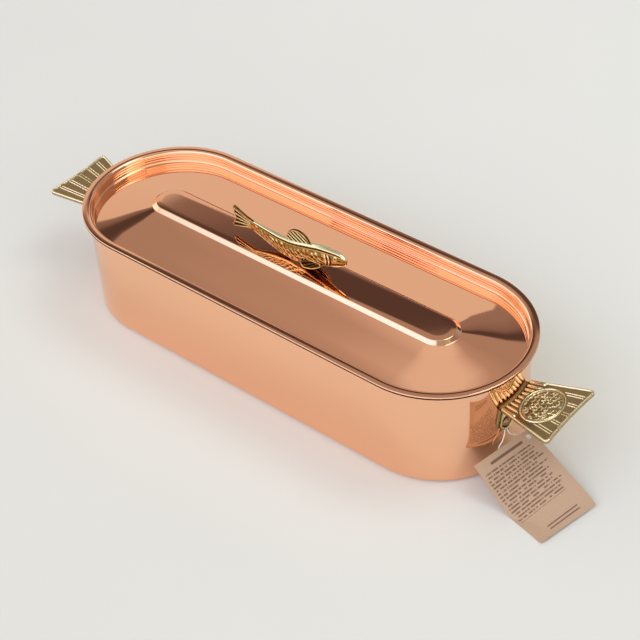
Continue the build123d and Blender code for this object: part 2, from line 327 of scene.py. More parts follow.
@dataclass(frozen=True)
class KraftCard(Finish):
    """Uncoated kraft card with short fibres, and plain broken bars in rows on its face."""

    paper: str = "C7AC8D"
    fibre: str = "B99B7B"
    ink: str = "5E4132"
    ink_share: float = 0.8
    fibre_mm: float = 0.66667  # Real fibres are near 0.1 mm wide; drawn coarser so that they show.
    fibre_height_mm: float = 0.05
    row_pitch_mm: float = 2.65
    bar_mm: float = 1.15
    rows_mm: Spot = (22.0, 66.0)
    margin_mm: float = 2.5
    reach_mm: float = 50.0
    ragged_mm: float = 9.0
    gap_pitch_mm: float = 1.6129
    gap_share: float = 0.39
    # Left, right, low and high edge of each plain bar above and below the rows.
    plain_bars_mm: tuple[tuple[float, ...], ...] = (
        (12.0, 43.0, 68.3, 70.4), (14.0, 43.0, 7.4, 8.4), (14.0, 43.0, 4.6, 5.6))

    def inputs(self, tree: Tree, place: Socket) -> Inputs:
        """Fibres in the paper, with the bars over them.

        Args:
            tree: Node tree of the material.
            place: Place on the object.

        Returns:
            What the shader takes.
        """
        noise = {"Vector": place, "Scale": per_mm(self.fibre_mm), "Detail": 6.0, "Distortion": 2.0}
        fibres = add_node(tree, "TexNoise", noise)["Fac"]
        stops = ((0.3, linear(self.fibre)), (0.6, linear(self.paper)))
        paper = add_node(tree, "ValToRGB", {"Fac": fibres}, stops)["Color"]
        spot = add_node(tree, "Attribute", attribute_name="card")["Vector"]
        across, up, _ = add_node(tree, "SeparateXYZ", {"Vector": spot})
        row = add_node(tree, "Math", {0: up, 1: self.row_pitch_mm}, operation="DIVIDE")[0]
        number = add_node(tree, "Math", {0: row}, operation="FLOOR")[0]
        phase = add_node(tree, "Math", {0: row}, operation="FRACT")[0]
        words = add_node(tree, "CombineXYZ", {"X": across, "Y": number})[0]
        gaps = add_node(tree, "TexNoise", {"Vector": words, "Scale": 1 / self.gap_pitch_mm, "Detail": 0.0},
                        noise_dimensions="2D")["Fac"]
        short = add_node(tree, "TexWhiteNoise", {"W": number}, noise_dimensions="1D")["Value"]
        end = add_node(tree, "Math", {0: short, 1: -self.ragged_mm, 2: self.reach_mm},
                       operation="MULTIPLY_ADD")[0]
        areas = [((across, end), (phase, self.bar_mm / self.row_pitch_mm), (self.rows_mm[0], up),
                  (up, self.rows_mm[1]), (self.margin_mm, across), (self.gap_share, gaps))]
        areas += [((left, across), (across, right), (low, up), (up, high))
                  for left, right, low, high in self.plain_bars_mm]
        masks = [reduce(lambda a, b: add_node(tree, "Math", {0: a, 1: b}, operation="MULTIPLY")[0],
                        [add_node(tree, "Math", {0: less, 1: more}, operation="LESS_THAN")[0]
                         for less, more in area]) for area in areas]
        inked = reduce(lambda a, b: add_node(tree, "Math", {0: a, 1: b}, operation="MAXIMUM")[0], masks)
        share = add_node(tree, "Math", {0: inked, 1: self.ink_share}, operation="MULTIPLY")[0]
        color = add_node(tree, "Mix", {0: share, 6: paper, 7: linear(self.ink)}, data_type="RGBA")[2]
        bump = add_node(tree, "Bump", {"Height": fibres, "Strength": 0.4,
                                       "Distance": self.fibre_height_mm * MM})
        return {"Base Color": color, "Roughness": 0.85, "Normal": bump["Normal"]}


def show(data: bpy.types.ID) -> Object:
    """Put a new object into the scene, named as what it shows.

    Args:
        data: Mesh, curve, lamp or camera.

    Returns:
        The object.
    """
    shown = bpy.data.objects.new(data.name, data)
    bpy.context.scene.collection.objects.link(shown)
    return shown


def declare(piece: Object, body: Body, node: str) -> None:
    """Hang a piece on its body and hide the CAD node that it stands for.

    Args:
        piece: The new object.
        body: Body that it rides on.
        node: CAD node that it stands for.
    """
    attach(piece, body.value)
    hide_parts(node)


@dataclass
class MeshPiece:
    """Points and faces in millimetres that become one shown piece."""

    name: str
    points: list[Array] = field(default_factory=list)
    faces: Faces = field(default_factory=list)
    relief: list[Array] = field(default_factory=list)
    slots: Sequence[int] = ()

    def add(self, points: Array, faces: Faces, relief: Array | None = None) -> None:
        """Add a patch of mesh.

        Args:
            points: Corner places in millimetres, one row each.
            faces: Corner numbers of each face within the patch.
            relief: Brightness of the finish at each corner, from 0 in hollows to 1 on edges, with painted
                shade and painted highlights where a piece sets them.
        """
        start = sum(map(len, self.points))
        self.points.append(points)
        self.faces += [tuple(corner + start for corner in face) for face in faces]
        self.relief.append(np.full(len(points), 0.5) if relief is None else relief)

    def make(self, materials: Sequence[Material], body: Body, slot: Slot, node: str,
             sharp_deg: float = 38.0) -> Object:
        """Make the Blender object, smooth but for its sharp folds.

        Args:
            materials: Materials of the piece's faces, in the order of their numbers in slots.
            body: Body that the piece rides on.
            slot: Not used.
            node: CAD node that the piece stands for.
            sharp_deg: Folds sharper than this stay crisp.

        Returns:
            The new object.
        """
        mesh = bpy.data.meshes.new(self.name)
        mesh.from_pydata((np.concatenate(self.points) * MM).tolist(), [], self.faces)
        mesh.validate()
        for material in materials:
            mesh.materials.append(material)
        for polygon, index in zip(mesh.polygons, self.slots):
            polygon.material_index = index
        attribute = mesh.attributes.new("relief", "FLOAT", "POINT")
        attribute.data.foreach_set("value", np.concatenate(self.relief).astype(np.float32))
        mesh.shade_smooth()
        mesh.set_sharp_from_angle(angle=math.radians(sharp_deg))
        piece = show(mesh)
        declare(piece, body, node)
        return piece


def bend(x: float, y: float, radius: float, start_deg: float, end_deg: float,
         step_deg: float = 9.0) -> Profile:
    """Points of a round bend about a centre.

    Args:
        x: Centre's distance out.
        y: Centre's height.
        radius: Radius of the bend.
        start_deg: Angle where the bend starts.
        end_deg: Angle where the bend ends.
        step_deg: Largest step between two points.

    Returns:
        The points, ends included.
    """
    count = max(1, math.ceil(abs(end_deg - start_deg) / step_deg))
    angles = [math.radians(start_deg + (end_deg - start_deg) * i / count) for i in range(count + 1)]
    return [(x + radius * math.cos(a), y + radius * math.sin(a)) for a in angles]


@dataclass
class Oblong:
    """Sweep of a half section round two half turns joined by straight sides."""

    half_run: float
    end_steps: int = 144
    side_steps: int = 24

    def stations(self) -> list[Point]:
        """Places round the oblong where the section stands.

        Returns:
            Centre's x and the outward direction's x and y, in order.
        """
        found = []
        for side in (1, -1):
            for step in range(self.end_steps):
                angle = math.pi * (step / self.end_steps - 0.5)
                found.append((side * self.half_run, side * math.cos(angle), side * math.sin(angle)))
            found += [(side * self.half_run * (1 - 2 * step / self.side_steps), 0.0, float(side))
                      for step in range(self.side_steps)]
        return found

    def sweep(self, name: str, profile: Profile, slots: dict[int, int]) -> MeshPiece:
        """Carry an open profile round the oblong.

        Args:
            name: Name of the piece.
            profile: Distance out and height of each point.
            slots: Material slots by the step of the profile where each starts, in order.

        Returns:
            The piece.
        """
        out, height = np.array(profile).T
        rows = [np.c_[centre + out * dx, out * dy, height] for centre, dx, dy in self.stations()]
        count = len(profile)
        total = count * len(rows)
        faces = [(i + k, (i + count) % total + k, (i + count) % total + k + 1, i + k + 1)
                 for i in range(0, total, count) for k in range(count - 1)]
        piece = MeshPiece(name)
        piece.add(np.concatenate(rows), faces)
        piece.slots = [slots[max(step for step in slots if step <= k)] for k in range(count - 1)] * len(rows)
        return piece


@dataclass
class PotBody:
    """Oblong pot, copper outside and tinned inside."""

    copper: Material
    tin: Material
    half_run: float = HALF_RUN
    wall: float = WALL
    thick: float = 1.0
    rows: tuple[float, ...] = (15.0, 30.0, 45.0, 60.0, 75.0, 86.0)
    base_round: float = 4.5
    bead_out: float = 70.03
    bead_height: float = 90.9
    bead_radius: float = 1.3

    def build(self) -> None:
        """Make the pot."""
        round_out = self.wall - self.base_round
        start = -180 + math.degrees(math.acos((self.bead_out - self.wall) / self.bead_radius))
        inside = self.wall - self.thick
        outer = [(0.0, 0.0), (round_out * 0.5, 0.0)]
        outer += bend(round_out, self.base_round, self.base_round, -90, 0)
        outer += [(self.wall, z) for z in self.rows]
        outer += bend(self.bead_out, self.bead_height, self.bead_radius, start, 180, 15)
        inner = [(inside, z) for z in self.rows[::-2]]
        inner += bend(round_out, self.base_round, self.base_round - self.thick, 0, -90)
        inner += [(round_out * 0.5, self.thick), (0.0, self.thick)]
        piece = Oblong(self.half_run).sweep("pot_body_smooth", outer + inner, {0: 0, len(outer): 1})
        piece.make([self.copper, self.tin], Body.POT, Slot.COPPER, "pot_body")


@dataclass
class Lid:
    """Drop-in lid: bead, flange, recess, hipped slope and plateau.

    Under the bead the copper is painted dark: painted shade for the thin shadow line between lid and pot.
    """

    copper: Material
    tin: Material
    # Dark material of the painted shade under the bead.
    bead_shade: Material
    half_run: float = HALF_RUN
    thick: float = 1.0
    bead_radius: float = 1.6
    bead_out: float = 73.4
    bead_height: float = 91.8
    recess_low: float = 67.2
    recess_high: float = 67.5
    wall_lean: float = 0.30
    corner_low: float = 82.9
    # Radii of a bend are given for the upper and the under face.
    corner_bends: Spot = (1.5, 2.5)
    plateau_foot: float = 17.2
    foot_height: float = 90.1
    slope_rows: Spot = (30.0, 50.0)
    plateau_edge: float = 13.8
    plateau_top: float = 93.0
    plateau_bend: float = 1.2
    bend_shift: float = 0.4
    crown: float = 0.05
    edge_round: float = 0.55
    flange_bends: Spot = (2.6, 0.3)
    # Height on the bead's outer face where the painted shade under the bead begins.
    painted_shade_from: float = 92.45
    ring_pitch: float = 2.3
    ring_depth: float = 0.12
    wall_step: float = 0.5
    wall_short: float = 2.9

    @property
    def top(self) -> float:
        """Height of the flange."""
        return self.bead_height + self.bead_radius

    def surface(self, drop: float, bend_in: float, bend_out: float) -> Profile:
        """One face of the lid's sheet, from the middle out to the flange.

        Args:
            drop: Depth of the face under the top face.
            bend_in: Radius of the recess corner.
            bend_out: Radius of the flange's bend.

        Returns:
            The profile.
        """
        slope, rise = (math.degrees(math.atan2(up, out)) for up, out in (
            (self.foot_height - self.corner_low, self.recess_low - self.plateau_foot),
            (self.plateau_top - self.foot_height, self.plateau_foot - self.plateau_edge)))
        soft, high, foot = self.plateau_bend, self.plateau_top - drop, self.foot_height - drop
        low = self.corner_low - drop + bend_in / math.cos(math.radians(slope))
        return [
            (0.0, high), (self.plateau_edge * 0.6, high),
            *bend(self.plateau_edge - self.bend_shift, high - soft, soft, 90, 90 - rise),
            *bend(self.plateau_foot + self.bend_shift, foot + soft, soft, 270 - rise, 270 - slope),
            *[(x, foot - (x - self.plateau_foot) * math.tan(math.radians(slope)))
              for x in self.slope_rows],
            *bend(self.recess_low + drop - bend_in, low, bend_in, -90 - slope, 0),
            *self.wall(drop, low),
            *bend(self.recess_high + drop + bend_out, self.top - drop - bend_out - self.crown, bend_out,
                  180, 95),
        ]

    def wall(self, drop: float, low: float) -> Profile:
        """Recess wall with the faint rings that pressing leaves.

        Args:
            drop: Depth of the face under the top face.
            low: Height where the wall starts.

        Returns:
            The profile.
        """
        points = []
        for step in range(int((self.top - self.wall_short - low) / self.wall_step)):
            up = self.wall_step * (step + 1)
            lean = self.wall_lean * up / (self.top - low)
            ring = self.ring_depth * math.sin(2 * math.pi * up / self.ring_pitch)
            points.append((self.recess_low + drop + lean + ring, low + up))
        return points

    def rim(self) -> Profile:
        """Barely crowned flange from the recess out to the bead.

        Returns:
            The profile.
        """
        inner = self.recess_high + self.flange_bends[0]
        outer = self.bead_out + self.bead_radius - self.edge_round
        middle, half = (inner + outer) / 2, (outer - inner) / 2
        return [(middle + half * share, self.top - self.crown * share * share)
                for share in (-1.0, -0.6, -0.2, 0.2, 0.6, 1.0)]

    def build(self) -> None:
        """Make the lid."""
        reach = math.sqrt(self.bead_radius ** 2 - (self.bead_radius - self.thick) ** 2)
        end = math.degrees(math.atan2(self.bead_radius - self.thick, -reach)) - 360
        out = self.bead_out + self.bead_radius
        upper = self.surface(0.0, self.corner_bends[0], self.flange_bends[0]) + self.rim()
        upper += bend(out - self.edge_round, self.top - self.crown - self.edge_round, self.edge_round,
                      80, 0, 20)
        # From here on round under the bead the faces take the painted shade.
        upper.append((out, self.painted_shade_from))
        shade_step = len(upper) - 1
        upper += bend(self.bead_out, self.bead_height, self.bead_radius, -10, end, 10)
        under = self.surface(self.thick, self.corner_bends[1], self.flange_bends[1])
        piece = Oblong(self.half_run).sweep("lid_smooth", upper + under[::-1],
                                            {0: 0, shade_step: 2, len(upper): 1})
        piece.make([self.copper, self.tin, self.bead_shade], Body.LID, Slot.COPPER, "lid")


def unit(value: Array) -> Array:
    """Values held between zero and one."""
    return np.clip(value, 0, 1)


def rounded_edge(depth: Array, radius: float) -> Array:
    """How far a face falls away towards an edge of this radius, by distance inside the outline."""
    inner = np.clip(radius - depth, 0.0, radius)
    return radius - np.sqrt(np.maximum(radius ** 2 - inner ** 2, 0.0))


def ridge(distance: Array, half_width: float, height: float) -> Array:
    """Height of a round-topped ridge, by distance from its line."""
    return height * np.sqrt(unit(1 - (distance / half_width) ** 2))


def groove(distance: Array, half_width: float) -> Array:
    """Soft groove or swelling of unit height, by distance from its line."""
    return np.exp(-(distance / half_width) ** 2)


def from_lines(value: Array, pitch: float, shift: float = 0.5) -> Array:
    """Distance from the nearest of many even lines, one of them at zero where the shift is a half."""
    return np.abs((value / pitch + shift) % 1 - 0.5) * pitch


def smooth_step(share: Array) -> Array:
    """Share from zero to one with soft ends."""
    return share * share * (3 - 2 * share)


@dataclass
class Relief:
    """Thin casting from a plan outline, with a height over each face and a map into place."""

    low: Spot
    high: Spot
    cell: float
    inside: Shape
    top: Shape
    under: Shape
    place: Shape
    shade: float = 0.38
    contrast: float = 0.62
    under_shade: float = 0.4

    def snapped(self, x: Array, y: Array) -> tuple[Array, Array]:
        """Move grid points that are near the outline onto it.

        Args:
            x: First coordinate of each grid point.
            y: Second coordinate.

        Returns:
            The moved coordinates.
        """
        tiny = 0.02
        for _ in range(2):
            depth = self.inside(x, y)
            gx = (self.inside(x + tiny, y) - self.inside(x - tiny, y)) / (2 * tiny)
            gy = (self.inside(x, y + tiny) - self.inside(x, y - tiny)) / (2 * tiny)
            near = np.abs(depth) < 0.6 * self.cell
            length = np.maximum(gx ** 2 + gy ** 2, 0.2)
            x = np.where(near, x - depth * gx / length, x)
            y = np.where(near, y - depth * gy / length, y)
        return x, y

    def patch(self) -> tuple[Array, Faces, Array]:
        """Mesh of both faces and the edge between them.

        Returns:
            Points, faces and the relief brightness of each point.
        """
        nx, ny = (max(2, round((high - low) / self.cell)) + 1 for low, high in zip(self.low, self.high))
        x, y = self.snapped(*np.meshgrid(np.linspace(self.low[0], self.high[0], nx),
                                         np.linspace(self.low[1], self.high[1], ny), indexing="ij"))
        depth = self.inside(x, y)
        kept = depth > -0.02 * self.cell
        number = np.arange(nx * ny).reshape(nx, ny)
        quads = []
        for i in range(nx - 1):
            for j in range(ny - 1):
                ring = ((i, j), (i + 1, j), (i + 1, j + 1), (i, j + 1))
                quads.append([int(number[p]) for p in ring if kept[p]])
        quads = [quad for quad in quads if len(quad) >= 3]
        used = sorted({n for quad in quads for n in quad})
        order = {n: k for k, n in enumerate(used)}
        quads = [tuple(order[n] for n in quad) for quad in quads]
        xs, ys = x.ravel()[used], y.ravel()[used]
        depths = np.maximum(depth.ravel()[used], 0.0)
        above, below = self.top(xs, ys, depths), self.under(xs, ys, depths)
        count = len(used)
        points = np.concatenate([self.place(xs, ys, above), self.place(xs, ys, below)])
        edges = dict.fromkeys(pair for quad in quads for pair in zip(quad, quad[1:] + quad[:1]))
        walls = [(b, a, a + count, b + count) for a, b in edges if (b, a) not in edges]
        faces = quads + [tuple(n + count for n in reversed(quad)) for quad in quads] + walls
        spread = unit((above - np.median(above)) * self.contrast + self.shade)
        return points, faces, np.concatenate([spread, np.full(count, self.under_shade)])


@dataclass
class TailHandle:
    """Cast fish-tail handle: flared relief plate on a riveted foot."""

    side: int
    rise_deg: float
    with_oval: bool
    brass: Material
    half_run: float = HALF_RUN
    wall: float = WALL
    # The plate is drawn by u out from its origin, v across and w over the plane of its rim.
    origin_x: float = 206.5
    rim_height: float = 65.0
    thick: float = 3.4
    root_u: float = -10.0
    root_half: float = 17.0
    tip_u: float = 46.2
    tip_half: float = 33.0
    dip: float = 1.6
    scallop: float = 0.15
    corner: float = 4.5
    edge_round: float = 0.8
    cells: Spot = (0.3, 0.4)
    box: Spot = (34.0, 21.0)
    grain: float = 0.03
    rim_width: float = 1.3
    rim_slope: float = 0.7
    field_drop: float = 0.9
    rib_pitch: float = 4.0
    # Ribs and rays: half width and height.
    rib: Spot = (1.35, 1.9)
    rib_drop: float = 0.95
    rib_flare: float = 0.012
    rib_fades: Spot = (1.5, 0.8)
    ribs_to: Spot = (11.0, 17.6)
    ray_pairs: int = 5
    ray_pitches: Spot = (7.9, 11.0)
    ray_gap: float = 1.2
    ray: Spot = (0.4, 0.65)
    ray_run: Spot = (12.0, 43.4)
    rays_between: Spot = (13.0, 42.6)
    oval_u: float = 21.2
    oval_half: Spot = (15.5, 20.0)
    # Rings and the scales' lips: distance inside the edge, half width and height.
    outer_ring: Point = (0.7, 0.6, 0.85)
    inner_ring: Point = (2.3, 0.4, 0.4)
    # Bed under the rings and moat outside them: reach from the oval's edge, and height.
    bed: Spot = (2.6, -0.4)
    moat: Spot = (0.9, -0.45)
    scale_rows: int = 5
    scale_columns: int = 6
    scale_pitch: Spot = (3.5, 4.0)
    scale_radius: float = 2.5
    scale_drop: float = 0.15
    scale_slips: Spot = (0.6, 0.7)
    scale_turn: float = 0.5
    scale_wear: Spot = (0.6, 1.5)
    scale_rise: float = 0.1
    scale_tilt: float = 0.09
    scale_lip: Point = (0.5, 0.42, 0.45)
    scale_ribs: int = 11
    scale_rib_height: float = 0.18
    scale_rib_origin: float = 2.4
    # Hollow along the pot's wall, a real hollow that the relief draws dark as painted shade for the gap
    # where the plate meets the wall: its depth, its share at the wall and the run of one share.
    shaded_wall_cut: Point = (2.0, 1.9, 1.5)
    foot_out: float = 73.4
    foot_top: float = 63.2
    foot_top_half: float = 17.4
    lobe_offset: float = 13.0
    lobe_height: float = 47.5
    lobe_radius: float = 6.9
    arch_radius: float = 6.4
    pocket_radius: float = 5.3
    pocket_rise: float = 3.0
    pocket_depth: float = 1.2
    # The foot is drawn brighter than the plate: painted light on a part that sits in shade.
    foot_shade: float = 0.62
    plate_shade: float = 0.42
    plate_contrast: float = 0.46

    def half_at(self, u: Array) -> Array:
        """Half width of the tail at a distance out."""
        share = (self.tip_half - self.root_half) * (u - self.root_u) / (self.tip_u - self.root_u)
        return self.root_half + share

    def plate_inside(self, u: Array, v: Array) -> Array:
        """Distance inside the tail's outline.

        Args:
            u: Distance out.
            v: Distance across.

        Returns:
            The distance, negative outside.
        """
        flare = (self.tip_half - self.root_half) / (self.tip_u - self.root_u)
        side = (self.half_at(u) - np.abs(v)) / math.hypot(1, flare)
        share = np.abs(((v / self.tip_half + 1) * 3) % 1 - 0.5) * 2
        tip = self.tip_u - self.dip * (1 - (v / self.tip_half) ** 2) + self.scallop * (1 - share ** 2) - u
        cut_side, cut_tip = side - self.corner, tip - self.corner
        rounded = self.corner - np.hypot(cut_side, cut_tip)
        outline = np.where((cut_side < 0) & (cut_tip < 0), rounded, np.minimum(side, tip))
        reach = self.origin_x + u * math.cos(math.radians(self.rise_deg)) - self.half_run
        return np.minimum(outline, np.hypot(reach, v) - self.wall)

    def scales(self, u: Array, v: Array) -> Array:
        """Overlapping fish scales, each a tilted disc, unevenly worn.

        Args:
            u: Distance out.
            v: Distance across.

        Returns:
            Height over the oval's bed.
        """
        rng = np.random.default_rng(SCALE_SEED)
        height = np.zeros_like(u)
        inset, half, rise = self.scale_lip
        for row in range(-self.scale_rows, self.scale_rows + 1):
            for column in range(-self.scale_columns, self.scale_columns + 1):
                slip, wear = rng.normal(0, self.scale_slips[0]), rng.uniform(*self.scale_wear)
                turn = rng.normal(0, self.scale_turn)
                out = u - (self.oval_u + row * self.scale_pitch[0] + slip)
                place = column + (0.5 if row % 2 else 0.0)
                beside = v - (place * self.scale_pitch[1] + rng.normal(0, self.scale_slips[1]))
                along = out * math.cos(turn) + beside * math.sin(turn)
                away = np.hypot(out, beside)
                lip = rise * groove(away - self.scale_radius + inset, half) * unit(along / 1.5 + 0.6)
                rib = self.scale_rib_height * np.cos(
                    np.arctan2(beside, out + self.scale_rib_origin) * self.scale_ribs)
                disc = wear * (self.scale_rise + self.scale_tilt * along + rib + lip)
                height = np.maximum(height, np.where(away < self.scale_radius, disc, 0.0))
        return height

    def pattern(self, u: Array, v: Array) -> Array:
        """Ribs by the wall, pairs of fine rays and the oval of scales.

        Args:
            u: Distance out.
            v: Distance across.

        Returns:
            Height over the sunk field.
        """
        spread = 1 + self.rib_flare * (u - self.root_u)
        ribs = ridge(from_lines(v / spread, self.rib_pitch), *self.rib) - self.rib_drop
        height = ribs * (unit((self.ribs_to[0] - u) / self.rib_fades[0])
                         * unit((self.ribs_to[1] * spread - np.abs(v)) / self.rib_fades[1]))
        run = (u - self.ray_run[0]) / (self.ray_run[1] - self.ray_run[0])
        on_field = (u > self.rays_between[0]) & (u < self.rays_between[1])
        for index in range(self.ray_pairs):
            for gap in (-self.ray_gap, self.ray_gap):
                start, end = ((index - (self.ray_pairs - 1) / 2) * pitch + gap for pitch in self.ray_pitches)
                ray = ridge(np.abs(v - start - (end - start) * run), *self.ray)
                height = np.where(on_field, np.maximum(height, ray), height)
        if not self.with_oval:
            return height
        away = np.hypot((u - self.oval_u) / self.oval_half[0], v / self.oval_half[1])
        from_edge = (1 - away) * min(self.oval_half)
        oval = np.where(from_edge > self.bed[0], self.scales(u, v) - self.scale_drop, self.bed[1])
        for inset, half, rise in (self.inner_ring, self.outer_ring):
            oval = np.maximum(oval, ridge(from_edge - inset, half, rise))
        height = np.where(from_edge > 0, oval, height)
        return np.where((from_edge > -self.moat[0]) & (from_edge <= 0), self.moat[1], height)

    def plate_top(self, u: Array, v: Array, depth: Array) -> Array:
        """Relief of the tail's upper face.

        Args:
            u: Distance out.
            v: Distance across.
            depth: Distance inside the outline.

        Returns:
            Height over the rim's plane.
        """
        cast = np.random.default_rng(GRAIN_SEED).normal(0.0, self.grain, len(u)) - self.field_drop
        rise = unit((self.rim_width + self.rim_slope - depth) / self.rim_slope)
        rim = -self.field_drop * (1 - smooth_step(rise))
        wall_side = np.hypot(self.origin_x + u - self.half_run, v) - self.wall
        from_wall = wall_side > depth + 0.01
        height = np.maximum(cast + self.pattern(u, v), np.where(from_wall, rim, -np.inf))
        # The hollow by the wall darkens the relief: painted shade for the gap at the wall.
        height -= self.shaded_wall_cut[0] * unit(self.shaded_wall_cut[1] - wall_side / self.shaded_wall_cut[2])
        return height - np.where(from_wall, rounded_edge(depth, self.edge_round), 0.0)

    def plate_place(self, u: Array, v: Array, w: Array) -> Array:
        """Places of the plate's points, given out, across and over the rim's plane."""
        cos, sin = math.cos(math.radians(self.rise_deg)), math.sin(math.radians(self.rise_deg))
        return np.c_[self.side * (self.origin_x + u * cos - w * sin), v,
                     self.rim_height + u * sin + w * cos]

    def foot_inside(self, y: Array, z: Array) -> Array:
        """Distance inside the foot's outline, seen from its end.

        Args:
            y: Distance across.
            z: Height.

        Returns:
            The distance, negative outside.
        """
        lobe_side = self.lobe_offset + self.lobe_radius
        run = (lobe_side - self.foot_top_half) / (self.foot_top - self.lobe_height)
        side = (lobe_side - run * (z - self.lobe_height) - np.abs(y)) / math.hypot(1, run)
        band = np.minimum(np.minimum(side, self.foot_top - z), z - self.lobe_height)
        lobe = self.lobe_radius - np.hypot(np.abs(y) - self.lobe_offset, z - self.lobe_height)
        return np.minimum(np.maximum(band, lobe), np.hypot(y, z - self.lobe_height) - self.arch_radius)

    def foot_face(self, y: Array, z: Array, depth: Array) -> Array:
        """Thickness of the foot with its sunk pockets.

        Args:
            y: Distance across.
            z: Height.
            depth: Distance inside the outline.

        Returns:
            Height over the wall.
        """
        along = np.clip(z - self.lobe_height, 0.0, self.pocket_rise)
        pocket = self.pocket_radius - np.hypot(np.abs(y) - self.lobe_offset, z - self.lobe_height - along)
        sunk = self.pocket_depth * smooth_step(unit(pocket / 0.8))
        return self.foot_out - self.wall - rounded_edge(depth, 1.0) - sunk

    def foot_place(self, y: Array, z: Array, h: Array) -> Array:
        """Places of the foot's points, given across, up and over the wall."""
        return np.c_[self.side * (self.half_run + np.sqrt((self.wall + h) ** 2 - y ** 2)), y, z]

    def build(self) -> None:
        """Make the handle."""
        name = "right_handle" if self.side > 0 else "left_handle"
        plate_half, foot_half = self.box
        plate = Relief((self.root_u, -plate_half), (self.tip_u + 1.0, plate_half), self.cells[0],
                       self.plate_inside, self.plate_top,
                       lambda u, v, d: -self.thick + rounded_edge(d, self.edge_round),
                       self.plate_place, self.plate_shade, self.plate_contrast)
        foot = Relief((-foot_half, 40.0), (foot_half, self.foot_top), self.cells[1], self.foot_inside,
                      self.foot_face, lambda y, z, d: np.zeros_like(y), self.foot_place, self.foot_shade)
        piece = MeshPiece(f"{name}_casting")
        for relief in (plate, foot):
            points, faces, shade = relief.patch()
            piece.add(points, [face[::self.side] for face in faces], shade)
        piece.make([self.brass], Body.POT, Slot.BRASS, name, 50.0)


def smooth_through(x: Array, places: Sequence[float], values: Sequence[float]) -> Array:
    """Smooth curve through given values.

    Args:
        x: Where the curve is read.
        places: Places of the given values, rising.
        values: Values that the curve passes.

    Returns:
        The curve's value at each x.
    """
    p, v = np.array(places), np.array(values)
    tangent = np.gradient(v, p)
    i = np.clip(np.searchsorted(p, x) - 1, 0, len(p) - 2)
    width = p[i + 1] - p[i]
    t = unit((x - p[i]) / width)
    return ((2 * t ** 3 - 3 * t ** 2 + 1) * v[i] + (t ** 3 - 2 * t ** 2 + t) * width * tangent[i]
            + (3 * t ** 2 - 2 * t ** 3) * v[i + 1] + (t ** 3 - t ** 2) * width * tangent[i + 1])


def polygon_depth(x: Array, y: Array, corners: Sequence[Spot]) -> Array:
    """Distance inside a closed outline.

    Args:
        x: First coordinate of each point.
        y: Second coordinate.
        corners: Corners of the outline in order.

    Returns:
        The distance, negative outside.
    """
    nearest = np.full(np.shape(x), 1e9)
    inside = np.zeros(np.shape(x), bool)
    for (ax, ay), (bx, by) in zip(corners, [*corners[1:], corners[0]]):
        ex, ey = bx - ax, by - ay
        share = unit(((x - ax) * ex + (y - ay) * ey) / (ex * ex + ey * ey))
        nearest = np.minimum(nearest, np.hypot(x - ax - share * ex, y - ay - share * ey))
        cut = ax + (y - ay) / (ey if ey else 1e-9) * ex
        inside ^= ((ay > y) != (by > y)) & (x < cut)
    return np.where(inside, nearest, -nearest)


def arc_through(start: Spot, middle: Spot, end: Spot, count: int = 16) -> Profile:
    """Points of the circular arc through three points.

    Args:
        start: First point.
        middle: A point on the arc.
        end: Last point.
        count: Number of steps.

    Returns:
        The points, without the last one.
    """
    a, b, c = (complex(*spot) for spot in (start, middle, end))
    share = (c - a) / (b - a)
    centre = a + (b - a) * (share - abs(share) ** 2) / (2j * share.imag)
    sweep = cmath.phase((c - centre) / (a - centre)) % math.copysign(2 * math.pi, share.imag)
    arc = [centre + (a - centre) * cmath.exp(1j * sweep * step / count) for step in range(count)]
    return [(spot.real, spot.imag) for spot in arc]


